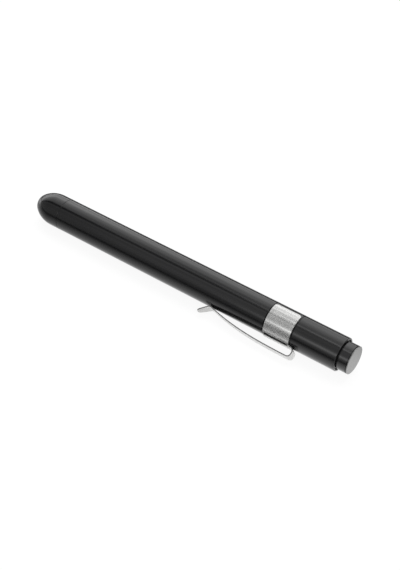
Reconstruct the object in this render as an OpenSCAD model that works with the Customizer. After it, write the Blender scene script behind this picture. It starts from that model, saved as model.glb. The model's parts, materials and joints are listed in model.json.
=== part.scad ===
// Slim penlight with a domed nose cap, a sprung pocket clip and a push-button tail.
// Pieces are turned about a local Z axis that starts at the seam between nose cap
// and barrel and points to the tail. laid() lays the pen along X with the tail at +X,
// and clip_side() turns the clip about it until its ring and the lower corner of its
// strip both rest on the table.

/* [Barrel] */
// Wall around the cells
barrel_wall = 0.9; // [0.7:0.05:1.6]
// Wall around the thread at the front
front_wall = 0.55; // [0.4:0.05:1.2]
// Wall around the wider bore in the tail
tail_wall = 0.6; // [0.5:0.05:1.2]
// Depth of the wider bore in the tail, for the switch
tail_bore_l = 25.5; // [24.5:0.1:26.5]
// Rounding of the tail's outer edge
tail_edge_r = 0.45; // [0.1:0.05:0.5]

/* [Nose cap] */
// Straight length in front of the seam
nose_straight_l = 4.9; // [4:0.1:7]
// Length of the dome in front of the straight part
dome_l = 9.2; // [8.5:0.1:10]
// Radius of the dome's tip
dome_tip_r = 4.9; // [4.7:0.1:5.2]
// Width of the light opening in the tip
opening_d = 4.4; // [4:0.1:4.6]
// Bore for the lens flange
lens_bore_d = 5.2; // [5:0.1:5.4]
// Bore for the reflector
reflector_bore_d = 6.8; // [6.4:0.1:7]
// Bore for the lamp board
board_bore_d = 9.2; // [9:0.1:9.6]
// Bore for the threaded insert
insert_bore_d = 10.4; // [10:0.1:10.8]
// Depth of the lip in front of the lens bore
lip_l = 1.5; // [1.4:0.05:2]
// Depth of the lens bore
lens_bore_l = 1; // [0.9:0.05:1.1]
// Depth of the reflector's bore behind the lens bore
reflector_bore_l = 3.6; // [3.4:0.1:3.8]
// Depth of the board's bore behind the reflector's bore
board_bore_l = 3.4; // [3.2:0.1:3.6]

/* [Lamp] */
// Thickness of the lens flange
lens_flange_t = 0.5; // [0.4:0.05:0.55]
// Thickness of the reflector's rear flange
reflector_flange_t = 0.6; // [0.4:0.05:0.8]
// Least wall of the reflector at its front rim
reflector_rim_t = 0.8; // [0.6:0.05:0.9]
// Opening at the reflector's throat
throat_d = 3.2; // [3:0.1:3.6]
// Thickness of the lamp board
board_t = 1; // [0.8:0.1:1.2]
// Diameter of the lamp's body
led_d = 2.8; // [2:0.1:2.9]
// Height of the lamp's body under its dome
led_body_l = 0.8; // [0.5:0.1:1.2]

/* [Threaded insert] */
// Crest diameter of the thread
thread_d = 11.5; // [11.3:0.05:11.55]
// Radial room between the thread's crest and its bore
thread_gap = 0.1; // [0.05:0.01:0.2]
// Pitch of the thread
thread_pitch = 0.8; // [0.6:0.05:0.9]
// Turns from tight to free
thread_turns = 4; // [3:0.5:4.5]
// Chamfer at the thread's start
thread_chamfer = 0.3; // [0.2:0.05:0.4]
// Bore through the insert
insert_hole_d = 7.8; // [7.4:0.1:8.2]
// Width of the seal's groove
groove_w = 1.05; // [1:0.05:1.2]
// Depth of the seal's groove below the thread's crest
groove_h = 0.7; // [0.65:0.05:0.8]
// Land between the seam and the seal's groove
groove_land_l = 0.6; // [0.4:0.05:0.8]

/* [Front contact] */
// Thickness of the insulator's flange
insulator_flange_t = 0.8; // [0.6:0.05:1]
// Radial room between the insulator's flange and the barrel
insulator_room = 0.3; // [0.2:0.05:0.7]
// Diameter of the contact's stem
contact_stem_d = 1.9; // [1.6:0.1:2.4]
// Diameter of the contact's head
contact_head_d = 4.7; // [4:0.1:6]
// Thickness of the contact's head
contact_head_t = 0.5; // [0.4:0.05:0.7]
// Room between the lamp board and the contact's stem
contact_tip_gap = 2.3; // [1.5:0.1:4]

/* [Cells] */
// Diameter of a cell with its sleeve
cell_d = 10.5; // [10:0.1:10.6]
// Radial room between a cell and the barrel
cell_room = 0.25; // [0.15:0.05:0.4]
// Length of a cell with its nub
cell_l = 44.5; // [44:0.1:45]
// Diameter of the positive nub
nub_d = 3.8; // [3:0.1:4.2]
// Height of the positive nub
nub_l = 0.9; // [0.7:0.1:1.2]
// Thickness of the cell's sleeve
sleeve_t = 0.12; // [0.08:0.01:0.2]
// Width of the sleeve's fold over the cell's ends
sleeve_fold_w = 1.1; // [0.6:0.1:1.6]

/* [Switch] */
// Thickness of the insulating base
base_t = 2; // [1.6:0.1:2.2]
// Thickness of the contact ring
ring_t = 1.2; // [1:0.1:1.4]
// How far the bridge contact laps onto the contact ring
bridge_lap = 0.9; // [0.6:0.05:1.1]
// Travel of the button
button_travel = 2; // [1.5:0.1:2.2]
// Thickness of the bridge contact
bridge_t = 0.5; // [0.4:0.05:0.6]
// Radial room between the bridge contact and the guide sleeve
bridge_room = 0.5; // [0.3:0.05:0.8]
// Wall of the guide sleeve
guide_wall = 0.86; // [0.6:0.02:1]
// Room between the bridge contact and the web
web_room = 1.3; // [1:0.1:1.6]
// Thickness of the guide sleeve's web
web_t = 1.2; // [1:0.1:1.4]
// Diameter of the plunger's stem
stem_d = 4.8; // [4.4:0.1:5]
// Diameter of the plunger's front pin
pin_d = 2; // [1.6:0.1:2.4]
// Diameter of the rivet's shank through the base
rivet_d = 2.6; // [2.2:0.1:3]
// Diameter of the rivet's head that the bridge meets
rivet_head_d = 3.6; // [3.2:0.1:4.4]
// Radial room between the barrel and the rivet's flange that the battery spring sits on
rivet_room = 0.8; // [0.6:0.05:0.9]
// Thickness of the rivet's flange
rivet_flange_t = 0.5; // [0.4:0.05:0.7]

/* [Button] */
// Diameter of the push-button
button_d = 10.66; // [10.3:0.02:10.8]
// How far the button stands out of the tail
button_out = 4.5; // [4:0.1:5.5]
// Side wall of the button
button_wall = 1; // [0.8:0.1:1.2]
// End wall of the button behind its disc
button_end_t = 1.2; // [1:0.1:1.6]
// Outer diameter of the boss that takes the plunger
boss_d = 6.8; // [6.4:0.1:7.2]
// Thickness of the button's flange
flange_t = 1.5; // [1.2:0.1:1.8]
// Rounding of the button's end edge
button_edge_r = 0.15; // [0.05:0.05:0.18]
// Rim of the button around its end disc
disc_rim = 0.21; // [0.2:0.01:0.6]
// Thickness of the end disc
disc_t = 0.8; // [0.6:0.05:1]
// How far the end disc stands proud of the button
disc_proud = 0.3; // [0.1:0.05:0.4]
// Wall of the bush that keeps the button in
bush_wall = 0.36; // [0.3:0.02:0.6]
// Length of the bush that keeps the button in
bush_l = 4.2; // [3.6:0.1:4.6]
// How far the bush is set in from the tail end
bush_inset = 0.3; // [0:0.05:0.4]

/* [Clip] */
// Distance from the tail end to the ring's near edge
ring_from_tail = 18.25; // [14:0.05:22]
// Length of the ring along the barrel
clip_ring_l = 10.7; // [8:0.1:14]
// Thickness of the spring steel
strip_t = 0.4; // [0.3:0.05:0.6]
// Width of the clip's strip
strip_w = 4.6; // [3.6:0.1:5.4]
// Wrap of the ring to each side of the strip, in degrees
ring_wrap = 135; // [120:1:150]
// How far the strip runs past the ring before it bends
tongue_out = 0.75; // [0.2:0.05:2]
// Outside height of the bend
bend_h = 3.75; // [3.2:0.05:4.2]
// Distance along the barrel from the bend's centre to the strip's seat
arm_l = 33.5; // [28:0.1:40]
// Radius of the bead that sits on the barrel
bead_r = 1.5; // [1:0.1:4]
// Slope of the flared tip, in degrees
flare_a = 39; // [30:1:55]
// Straight length of the flared tip
flare_l = 4.6; // [1.5:0.1:5]
// Lift of the strip, in degrees
clip_swing = 6; // [3:0.5:8]
// Spare turn between the lifted bend and the ring, in degrees
flex_spare_a = 2.5; // [1.5:0.5:4]

/* [Springs] */
// Wire of the battery spring
battery_wire_d = 0.6; // [0.4:0.05:0.7]
// Middle diameter of the battery spring's small end
battery_tip_d = 4.4; // [3.6:0.1:6]
// Length of the battery spring between the cell and the rivet
battery_spring_l = 4.65; // [4:0.05:8]
// Turns of the battery spring
battery_turns = 3; // [2:1:4]
// Wire of the button's return spring
return_wire_d = 0.5; // [0.4:0.05:0.6]
// Radial room between the return spring and the stem
return_room = 0.5; // [0.3:0.05:0.7]
// Turns of the return spring
return_turns = 6; // [4:1:8]
// Wire of the front contact's spring
front_wire_d = 0.3; // [0.2:0.05:0.4]
// Turns of the front contact's spring
front_turns = 6; // [4:1:8]

/* [Clearances] */
// Radial room of a pressed seat
seat_gap = 0.04; // [0.02:0.01:0.05]
// Radial room of a running fit
run_gap = 0.07; // [0.05:0.01:0.09]
// Room between faces that meet
face_gap = 0.05; // [0.03:0.01:0.08]
// Room between the strip's bead and the barrel
bead_gap = 0.12; // [0.08:0.01:0.2]

/* [Hidden] */
$fn = 64;
cut_over = 1;

// Bores, from what they hold, and the barrel around the widest need
cell_bore_d = cell_d + 2 * cell_room;
tail_bore_d = button_d + 2 * (run_gap + bush_wall + seat_gap);
thread_bore_d = thread_d + 2 * thread_gap;
barrel_d = max(
    cell_bore_d + 2 * barrel_wall, tail_bore_d + 2 * tail_wall, thread_bore_d + 2 * front_wall
);
barrel_r = barrel_d / 2;

// Dome: a large flank arc runs tangent from the straight part into the tip's arc
dome_r = ((dome_l - dome_tip_r) ^ 2 / (barrel_r - dome_tip_r) + dome_tip_r + barrel_r) / 2;
dome_z = -nose_straight_l;
tip_centre_z = dome_z - dome_l + dome_tip_r;
nose_tip_z = dome_z - dome_l;

// Stations of the nose cap's stepped bore, from the tip to the rear face
lip_z = nose_tip_z + lip_l;
lens_seat_z = lip_z + lens_bore_l;
reflector_seat_z = lens_seat_z + reflector_bore_l;
board_seat_z = reflector_seat_z + board_bore_l;

// Lamp stack
lens_back_z = lens_seat_z;
lens_shoulder_z = lens_back_z - lens_flange_t;
lens_nose_r = opening_d / 2 - run_gap;
lens_seal_r = (lens_bore_d / 2 + lens_nose_r) / 2;
lens_seal_wire_r = (lens_bore_d / 2 - lens_nose_r) / 2 - seat_gap;
reflector_front_z = lens_seat_z + face_gap;
reflector_back_z = reflector_seat_z + reflector_flange_t;
board_front_z = reflector_back_z + face_gap;
board_back_z = board_front_z + board_t;
led_top_z = board_front_z - led_body_l;
insert_front_z = board_back_z + face_gap;

// Insert, its thread and its seal
thread_r = thread_d / 2;
groove_r = thread_r - groove_h;
groove_end_z = groove_land_l + groove_w;
insert_tail_l = groove_end_z + thread_pitch * thread_turns + thread_chamfer;
thread_bore_l = insert_tail_l + face_gap;
seal_wire_r = (thread_bore_d / 2 - groove_r) / 2 - run_gap;
seal_r = (thread_bore_d / 2 + groove_r) / 2;

// Insulator and front contact
insulator_flange_d = cell_bore_d - 2 * insulator_room;
insulator_seat_z = insert_tail_l + face_gap;
insulator_back_z = insert_tail_l + insulator_flange_t;
insulator_mid_z = (insulator_seat_z + insulator_back_z) / 2;
insulator_front_z = groove_land_l;
contact_tip_z = board_back_z + contact_tip_gap;
contact_head_z = insulator_back_z + face_gap;
contact_face_z = insulator_back_z + contact_head_t;
front_spring_r = (contact_stem_d + front_wire_d) / 2 + run_gap;
front_spring_shoulder_z = insulator_front_z - face_gap;

// Cells
front_cell_z = contact_face_z + face_gap;
rear_cell_z = front_cell_z + cell_l + face_gap;
cells_end_z = rear_cell_z + cell_l;
can_d = cell_d - 2 * sleeve_t;
can_edge_r = sleeve_fold_w / 2;

// Battery spring and the rivet it sits on, up to the shoulder of the tail bore
battery_spring_z0 = cells_end_z + face_gap;
battery_spring_z1 = battery_spring_z0 + battery_spring_l;
rivet_flange_z = battery_spring_z1 + face_gap;
rivet_flange_d = cell_bore_d - 2 * rivet_room;
battery_foot_r = (rivet_flange_d - battery_wire_d) / 2 - run_gap;
tail_seat_z = rivet_flange_z + rivet_flange_t;
barrel_l = tail_seat_z + tail_bore_l;

// Switch stack, from the shoulder of the tail bore
switch_d = tail_bore_d - 2 * seat_gap;
guide_bore_d = switch_d - 2 * guide_wall;
bridge_d = guide_bore_d - 2 * bridge_room;
ring_bore_d = bridge_d - 2 * bridge_lap;
ring_z = tail_seat_z + base_t + face_gap;
sleeve_z = ring_z + ring_t + face_gap;
bridge_z = ring_z + ring_t + button_travel + 2 * face_gap;
stem_z = bridge_z + bridge_t;
web_z = stem_z + web_room;
web_end_z = web_z + web_t;

// Button and its bush, from the tail end
disc_d = button_d - 2 * disc_rim;
bush_z1 = barrel_l - bush_inset;
bush_z0 = bush_z1 - bush_l;
flange_z1 = bush_z0 - face_gap;
flange_z0 = flange_z1 - flange_t;
sleeve_end_z = flange_z0 - button_travel - 2 * face_gap;
disc_z1 = barrel_l + button_out;
disc_z0 = disc_z1 - disc_t;
button_z1 = disc_z1 - disc_proud;
button_end_z = disc_z0 - face_gap - button_end_t;
stem_end_z = button_end_z - face_gap;

// Springs
return_spring_r = (stem_d + return_wire_d) / 2 + return_room;
rings_per_turn = 12;
wire_sides = 6;

// Clip: the strip leaves the ring's tail edge, bends back and rides over the ring
ring_z1 = barrel_l - ring_from_tail;
ring_z0 = ring_z1 - clip_ring_l;
ring_in_r = barrel_r + seat_gap;
ring_out_r = ring_in_r + strip_t;
bend_r = bend_h / 2;
bend_x = ring_in_r + bend_r;
bend_z = ring_z1 + tongue_out;
strip_top_x = ring_in_r + bend_h;
tongue_l = tongue_out + clip_ring_l / 3;
flex_gap_a = clip_swing + flex_spare_a;
bow_power = 2.76;
bow_steps = 28;
bead_steps = 12;
arm_top_x = strip_top_x - strip_t / 2;
seat_x = barrel_r + bead_gap + strip_t / 2;
bead_in_a = atan(bow_power * (arm_top_x - seat_x) / arm_l);
arm_end_x = seat_x + bead_r * (1 - cos(bead_in_a));
arm_drop = arm_top_x - arm_end_x;

// Lying pose: the ring and the strip's lower corner both touch the table
corner_r = norm([strip_top_x, strip_w / 2]);
corner_a = atan2(strip_w / 2, strip_top_x);
clip_roll = asin(ring_out_r / corner_r) - corner_a;
reach_front = corner_r * cos(clip_roll - corner_a);
reach_back = max(barrel_r, -ring_out_r * cos(clip_roll + ring_wrap));
pen_x = -(nose_tip_z + disc_z1) / 2;
pen_y = (reach_front - reach_back) / 2;
pen_z = ring_out_r;

module laid() {
    translate([pen_x, pen_y, pen_z])
        rotate([0, 90, 0])
            children();
}

module clip_side() {
    laid()
        rotate([0, 0, clip_roll - 90])
            children();
}

// Ring or, with no hole, a disc between two stations
module turned_ring(d, z0, z1, hole_d = 0) {
    difference() {
        translate([0, 0, z0])
            cylinder(d = d, h = z1 - z0);
        if (hole_d > 0)
            translate([0, 0, z0 - cut_over])
                cylinder(d = hole_d, h = z1 - z0 + 2 * cut_over);
    }
}

// Round ring of round wire
module wire_ring(r, wire_r, z) {
    translate([0, 0, z])
        rotate_extrude()
            translate([r, 0])
                circle(r = wire_r);
}

function helix_at(turn, turns, r0, r1, z0, z1, r_off, z_off) =
    let (share = turn / turns, r = r0 + (r1 - r0) * share + r_off)
    [r * cos(360 * turn), r * sin(360 * turn), z0 + (z1 - z0) * share + z_off];

// Triangles that close a tube of rings with flat ends
function tube_faces(rings, sides) = concat(
    [for (i = [0:rings - 2], j = [0:sides - 1])
        [i * sides + j, i * sides + (j + 1) % sides, (i + 1) * sides + j]],
    [for (i = [0:rings - 2], j = [0:sides - 1])
        [i * sides + (j + 1) % sides, (i + 1) * sides + (j + 1) % sides, (i + 1) * sides + j]],
    [for (j = [1:sides - 2]) [0, j + 1, j]],
    [for (j = [1:sides - 2])
        [(rings - 1) * sides, (rings - 1) * sides + j, (rings - 1) * sides + j + 1]]
);

// Coil spring between two faces, one unbroken wire, its radius going from r0 to r1
module coil(r0, r1, z0, z1, turns, wire_d) {
    rings = turns * rings_per_turn + 1;
    wire_r = wire_d / 2;
    points = [for (i = [0:rings - 1], j = [0:wire_sides - 1])
        helix_at(
            i / rings_per_turn, turns, r0, r1, z0 + wire_r, z1 - wire_r,
            wire_r * cos(360 * j / wire_sides), -wire_r * sin(360 * j / wire_sides)
        )];
    polyhedron(points, tube_faces(rings, wire_sides));
}

// Outer half outline of the nose cap as [from axis, along axis]: flank arc, then tip arc
flank_steps = 24;
tip_steps = 24;
flank_end_a = asin((dome_l - dome_tip_r) / (dome_r - dome_tip_r));
flank_line = [for (i = [0:flank_steps])
    let (a = flank_end_a * i / flank_steps)
    [barrel_r - dome_r + dome_r * cos(a), dome_z - dome_r * sin(a)]];
tip_line = [for (i = [1:tip_steps])
    let (a = flank_end_a + (90 - flank_end_a) * i / tip_steps)
    [dome_tip_r * cos(a), tip_centre_z - dome_tip_r * sin(a)]];

module nose_outline() {
    polygon(concat([[0, -face_gap], [barrel_r, -face_gap]], flank_line, tip_line));
}

module nose_bore(d, z0, z1) {
    translate([0, z0])
        square([d / 2, z1 - z0]);
}

module nose_cap() {
    color("#26272a")
        laid()
            rotate_extrude()
                difference() {
                    nose_outline();
                    nose_bore(opening_d, nose_tip_z - cut_over, 0);
                    nose_bore(lens_bore_d, lip_z, 0);
                    nose_bore(reflector_bore_d, lens_seat_z, 0);
                    nose_bore(board_bore_d, reflector_seat_z, 0);
                    nose_bore(insert_bore_d, board_seat_z, cut_over);
                }
}

// The lens crown carries on the dome's tip arc
module lens() {
    crown_steps = 12;
    crown_a = acos(lens_nose_r / dome_tip_r);
    flange_r = lens_bore_d / 2 - seat_gap;
    crown = [for (i = [0:crown_steps])
        let (a = crown_a + (90 - crown_a) * i / crown_steps)
        [dome_tip_r * cos(a), tip_centre_z - dome_tip_r * sin(a)]];
    color("#dfe8ee")
        laid()
            rotate_extrude()
                polygon(concat([
                    [0, lens_back_z],
                    [flange_r, lens_back_z],
                    [flange_r, lens_shoulder_z],
                    [lens_nose_r, lens_shoulder_z]
                ], crown));
}

module lens_seal() {
    color("#1b1b1b")
        laid()
            wire_ring(lens_seal_r, lens_seal_wire_r, (lip_z + lens_shoulder_z) / 2);
}

// Bowl of the reflector: its radius grows with the square root of the depth
function bowl_r(share) =
    let (throat = throat_d / 2, rim = reflector_bore_d / 2 - seat_gap - reflector_rim_t)
    throat + (rim - throat) * sqrt(share);

module reflector() {
    bowl_steps = 12;
    bowl_back_z = reflector_back_z;
    bowl_l = bowl_back_z - reflector_front_z;
    body_r = reflector_bore_d / 2 - seat_gap;
    flange_r = board_bore_d / 2 - seat_gap;
    bowl = [for (i = [0:bowl_steps]) [bowl_r(i / bowl_steps), bowl_back_z - bowl_l * i / bowl_steps]];
    color("#d6d8da")
        laid()
            rotate_extrude()
                polygon(concat(bowl, [
                    [body_r, reflector_front_z],
                    [body_r, reflector_seat_z + face_gap],
                    [flange_r, reflector_seat_z + face_gap],
                    [flange_r, reflector_back_z]
                ]));
}

module led() {
    dome_led_r = led_d / 2;
    color("#f2e7a8")
        laid()
            rotate_extrude() {
                translate([0, led_top_z])
                    square([dome_led_r, led_body_l]);
                intersection() {
                    translate([0, led_top_z])
                        circle(r = dome_led_r);
                    translate([0, led_top_z - dome_led_r])
                        square([dome_led_r, dome_led_r]);
                }
            }
}

module led_board() {
    color("#2f6b45")
        laid()
            turned_ring(board_bore_d - 2 * seat_gap, board_front_z, board_back_z);
}

// The thread is a plain land at its crest diameter
module head_insert() {
    hole_r = insert_hole_d / 2;
    front_r = board_bore_d / 2 - seat_gap;
    seat_r = insert_bore_d / 2 - seat_gap;
    color("#b98a3a")
        laid()
            rotate_extrude()
                polygon([
                    [hole_r, insert_front_z],
                    [front_r, insert_front_z],
                    [front_r, board_seat_z + face_gap],
                    [seat_r, board_seat_z + face_gap],
                    [seat_r, 0],
                    [thread_r, 0],
                    [thread_r, groove_land_l],
                    [groove_r, groove_land_l],
                    [groove_r, groove_end_z],
                    [thread_r, groove_end_z],
                    [thread_r, insert_tail_l - thread_chamfer],
                    [thread_r - thread_chamfer, insert_tail_l],
                    [hole_r, insert_tail_l]
                ]);
}

module contact_insulator() {
    color("#e9e6dc")
        laid()
            difference() {
                union() {
                    turned_ring(insert_hole_d - 2 * seat_gap, insulator_front_z, insulator_mid_z);
                    turned_ring(insulator_flange_d, insulator_seat_z, insulator_back_z);
                }
                turned_ring(
                    contact_stem_d + 2 * seat_gap, insulator_front_z - cut_over, insulator_back_z + cut_over
                );
            }
}

module front_contact() {
    color("#c9a44c")
        laid() {
            turned_ring(contact_stem_d, contact_tip_z, (contact_head_z + contact_face_z) / 2);
            turned_ring(contact_head_d, contact_head_z, contact_face_z);
        }
}

module front_spring() {
    color("#c8c8c4")
        laid()
            coil(
                front_spring_r, front_spring_r, board_back_z + face_gap,
                front_spring_shoulder_z, front_turns, front_wire_d
            );
}

module head_seal() {
    color("#161616")
        laid()
            wire_ring(seal_r, seal_wire_r, groove_land_l + groove_w / 2);
}

module barrel() {
    color("#26272a")
        laid()
            rotate_extrude()
                difference() {
                    union() {
                        square([barrel_r, barrel_l - tail_edge_r]);
                        square([barrel_r - tail_edge_r, barrel_l]);
                        translate([barrel_r - tail_edge_r, barrel_l - tail_edge_r])
                            circle(r = tail_edge_r);
                    }
                    translate([0, -cut_over])
                        square([thread_bore_d / 2, thread_bore_l + cut_over]);
                    translate([0, thread_bore_l - cut_over])
                        square([cell_bore_d / 2, tail_seat_z - thread_bore_l + 2 * cut_over]);
                    translate([0, tail_seat_z])
                        square([tail_bore_d / 2, tail_bore_l + cut_over]);
                }
}

// Steel can with its nub towards the nose
module cell_can(z) {
    can_z = z + nub_l;
    rotate_extrude() {
        translate([0, z])
            square([nub_d / 2, nub_l + can_edge_r]);
        translate([0, can_z + can_edge_r])
            square([can_d / 2, cell_l - nub_l - can_edge_r]);
        translate([0, can_z])
            square([can_d / 2 - can_edge_r, can_edge_r]);
        intersection() {
            translate([can_d / 2 - can_edge_r, can_z + can_edge_r])
                circle(r = can_edge_r);
            translate([0, can_z])
                square([can_d, can_edge_r]);
        }
    }
}

// Thin sleeve around the can's straight side
module cell_wrap(z) {
    can_z = z + nub_l;
    turned_ring(cell_d, can_z + sleeve_fold_w, z + cell_l - sleeve_fold_w, can_d + sleeve_t);
}

module front_cell() {
    color("#b9bcc0")
        laid()
            cell_can(front_cell_z);
}

module front_cell_sleeve() {
    color("#3f6fa8")
        laid()
            cell_wrap(front_cell_z);
}

module rear_cell() {
    color("#b9bcc0")
        laid()
            cell_can(rear_cell_z);
}

module rear_cell_sleeve() {
    color("#3f6fa8")
        laid()
            cell_wrap(rear_cell_z);
}

module battery_spring() {
    color("#c8c8c4")
        laid()
            coil(
                battery_tip_d / 2, battery_foot_r, battery_spring_z0, battery_spring_z1,
                battery_turns, battery_wire_d
            );
}

module spring_contact() {
    color("#c9a44c")
        laid() {
            turned_ring(rivet_flange_d, rivet_flange_z, tail_seat_z);
            turned_ring(rivet_d, (rivet_flange_z + tail_seat_z) / 2, ring_z + ring_t / 2);
            turned_ring(rivet_head_d, ring_z, ring_z + ring_t);
        }
}

module switch_base() {
    color("#e9e6dc")
        laid()
            turned_ring(switch_d, tail_seat_z + face_gap, tail_seat_z + base_t, rivet_d + 2 * seat_gap);
}

module contact_ring() {
    color("#c9a44c")
        laid()
            turned_ring(switch_d, ring_z, ring_z + ring_t, ring_bore_d);
}

module switch_sleeve() {
    color("#e9e6dc")
        laid()
            difference() {
                turned_ring(switch_d, sleeve_z, sleeve_end_z);
                turned_ring(guide_bore_d, sleeve_z - cut_over, web_z);
                turned_ring(stem_d + 2 * run_gap, web_z - cut_over, web_end_z + cut_over);
                turned_ring(guide_bore_d, web_end_z, sleeve_end_z + cut_over);
            }
}

module return_spring() {
    color("#c8c8c4")
        laid()
            coil(
                return_spring_r, return_spring_r, web_end_z + face_gap, flange_z0 - face_gap,
                return_turns, return_wire_d
            );
}

module plunger() {
    color("#d9d5c8")
        laid() {
            turned_ring(pin_d, bridge_z, (stem_z + stem_end_z) / 2);
            turned_ring(stem_d, stem_z, stem_end_z);
        }
}

module bridge_contact() {
    color("#c9a44c")
        laid()
            turned_ring(bridge_d, bridge_z, stem_z - face_gap, pin_d + 2 * seat_gap);
}

module button() {
    inner_d = button_d - 2 * button_wall;
    color("#202124")
        laid()
            difference() {
                union() {
                    turned_ring(tail_bore_d - 2 * run_gap, flange_z0, flange_z1);
                    rotate_extrude() {
                        translate([0, flange_z0])
                            square([button_d / 2, button_z1 - button_edge_r - flange_z0]);
                        translate([0, flange_z0])
                            square([button_d / 2 - button_edge_r, button_z1 - flange_z0]);
                        translate([button_d / 2 - button_edge_r, button_z1 - button_edge_r])
                            circle(r = button_edge_r);
                    }
                }
                turned_ring(inner_d, flange_z1, button_end_z, boss_d);
                turned_ring(stem_d + 2 * seat_gap, flange_z0 - cut_over, button_end_z);
                turned_ring(disc_d + 2 * seat_gap, disc_z0 - face_gap, button_z1 + cut_over);
            }
}

module button_disc() {
    color("#b4b6b8")
        laid()
            turned_ring(disc_d, disc_z0, disc_z1);
}

module tail_bush() {
    color("#1d1e20")
        laid()
            turned_ring(switch_d, bush_z0, bush_z1, button_d + 2 * run_gap);
}

// Spring steel ring, open on the side away from the strip, with a flat tongue
module clip_band() {
    color("#c2c4c6")
        clip_side() {
            rotate([0, 0, -ring_wrap])
                rotate_extrude(angle = 2 * ring_wrap)
                    translate([ring_in_r, ring_z0])
                        square([strip_t, clip_ring_l]);
            translate([ring_in_r, -strip_w / 2, bend_z - tongue_l])
                cube([strip_t, strip_w, tongue_l]);
        }
}

// Middle line of the strip from the bend to its seat, as [away from axis, along axis]
bow_line = [for (i = [0:bow_steps])
    let (share = i / bow_steps)
    [arm_top_x - arm_drop * share ^ bow_power, bend_z - arm_l * share]];
bow_end_a = atan(bow_power * arm_drop / arm_l);
bead_centre = bow_line[bow_steps] + bead_r * [cos(bow_end_a), -sin(bow_end_a)];
bead_line = [for (i = [1:bead_steps])
    let (a = -bow_end_a + (bow_end_a + flare_a) * i / bead_steps)
    bead_centre + bead_r * [-cos(a), -sin(a)]];
flare_end = bead_line[bead_steps - 1] + flare_l * [sin(flare_a), -cos(flare_a)];
arm_line = concat(bow_line, bead_line, [flare_end]);

// Unit direction across the strip at a point of the middle line
function arm_across(i) =
    let (
        ahead = arm_line[min(i + 1, len(arm_line) - 1)],
        behind = arm_line[max(i - 1, 0)],
        along = (ahead - behind) / norm(ahead - behind)
    )
    i == 0 ? [1, 0] : [-along[1], along[0]];

module strip_outline() {
    half_t = strip_t / 2;
    polygon(concat(
        [for (i = [0:len(arm_line) - 1]) arm_line[i] + half_t * arm_across(i)],
        [for (i = [len(arm_line) - 1:-1:0]) arm_line[i] - half_t * arm_across(i)]
    ));
}

// Half ring of the bend, short of the tongue by the room that the lift needs
module bend_outline() {
    wedge_r = 2 * bend_h;
    translate([bend_x, bend_z])
        intersection() {
            difference() {
                circle(r = bend_r);
                circle(r = bend_r - strip_t);
            }
            polygon([
                [0, 0],
                [wedge_r, 0],
                [wedge_r, wedge_r],
                [-wedge_r * cos(flex_gap_a), wedge_r],
                [-wedge_r * cos(flex_gap_a), wedge_r * sin(flex_gap_a)]
            ]);
        }
}

module clip_arm() {
    color("#c2c4c6")
        clip_side()
            translate([0, strip_w / 2, 0])
                rotate([90, 0, 0]) {
                    linear_extrude(strip_w)
                        bend_outline();
                    linear_extrude(strip_w)
                        strip_outline();
                }
}

nose_cap();
lens();
lens_seal();
reflector();
led();
led_board();
head_insert();
contact_insulator();
front_contact();
front_spring();
head_seal();
barrel();
front_cell();
front_cell_sleeve();
rear_cell();
rear_cell_sleeve();
battery_spring();
spring_contact();
switch_base();
contact_ring();
switch_sleeve();
return_spring();
plunger();
bridge_contact();
button();
button_disc();
tail_bush();
clip_band();
clip_arm();
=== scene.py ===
import json
import math

import bmesh
import bpy
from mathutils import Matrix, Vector


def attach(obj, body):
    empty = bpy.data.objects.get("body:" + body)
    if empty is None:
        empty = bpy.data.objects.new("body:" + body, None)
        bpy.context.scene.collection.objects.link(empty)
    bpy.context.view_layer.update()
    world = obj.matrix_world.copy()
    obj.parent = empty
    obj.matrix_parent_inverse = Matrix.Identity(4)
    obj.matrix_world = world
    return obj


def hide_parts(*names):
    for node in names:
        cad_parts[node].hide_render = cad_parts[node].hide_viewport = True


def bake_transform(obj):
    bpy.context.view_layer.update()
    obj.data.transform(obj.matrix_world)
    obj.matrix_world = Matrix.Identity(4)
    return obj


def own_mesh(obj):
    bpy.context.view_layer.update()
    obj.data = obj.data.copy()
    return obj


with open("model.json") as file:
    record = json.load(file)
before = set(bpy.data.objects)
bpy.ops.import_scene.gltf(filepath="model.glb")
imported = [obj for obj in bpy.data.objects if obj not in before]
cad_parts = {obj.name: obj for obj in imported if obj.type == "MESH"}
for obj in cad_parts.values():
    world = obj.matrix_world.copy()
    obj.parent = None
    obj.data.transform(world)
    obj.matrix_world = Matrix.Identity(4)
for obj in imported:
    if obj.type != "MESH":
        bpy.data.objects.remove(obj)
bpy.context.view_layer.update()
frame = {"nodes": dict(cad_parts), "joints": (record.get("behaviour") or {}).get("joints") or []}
mm = 0.001
perMetre = 1000
bumpDepth = 0.00002  # metres, for every finish

joints = {j["name"]: j for j in frame["joints"]}
seamX, axisY, axisZ = joints["nose_unscrew"]["pos_m"]  # nose seam on the barrel's axis
flexAxis = Vector(joints["clip_flex"]["axis"])
clipOut = Vector((0, -flexAxis.z, flexAxis.y))  # from the axis towards the clip's strip
clipSide = -flexAxis
print("frame loaded,", len(frame["nodes"]), "nodes")


# shared helpers

def linear(hexColour):
    parts = [int(hexColour[i:i + 2], 16) / 255 for i in (1, 3, 5)]
    return [c / 12.92 if c <= 0.04045 else ((c + 0.055) / 1.055) ** 2.4 for c in parts] + [1]


def addNode(tree, kind, links=(), **settings):
    # links are (socket of this node, node, its output); settings are sockets or plain properties
    node = tree.nodes.new("ShaderNode" + kind)
    for name, value in settings.items():
        if hasattr(node, name):
            setattr(node, name, value)
        else:
            key = int(name[1:]) if name[0] == "i" and name[1:].isdigit() else name.replace("_", " ")
            node.inputs[key].default_value = value
    for socket, source, output in links:
        tree.links.new(source.outputs[output], node.inputs[socket])
    return node


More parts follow.
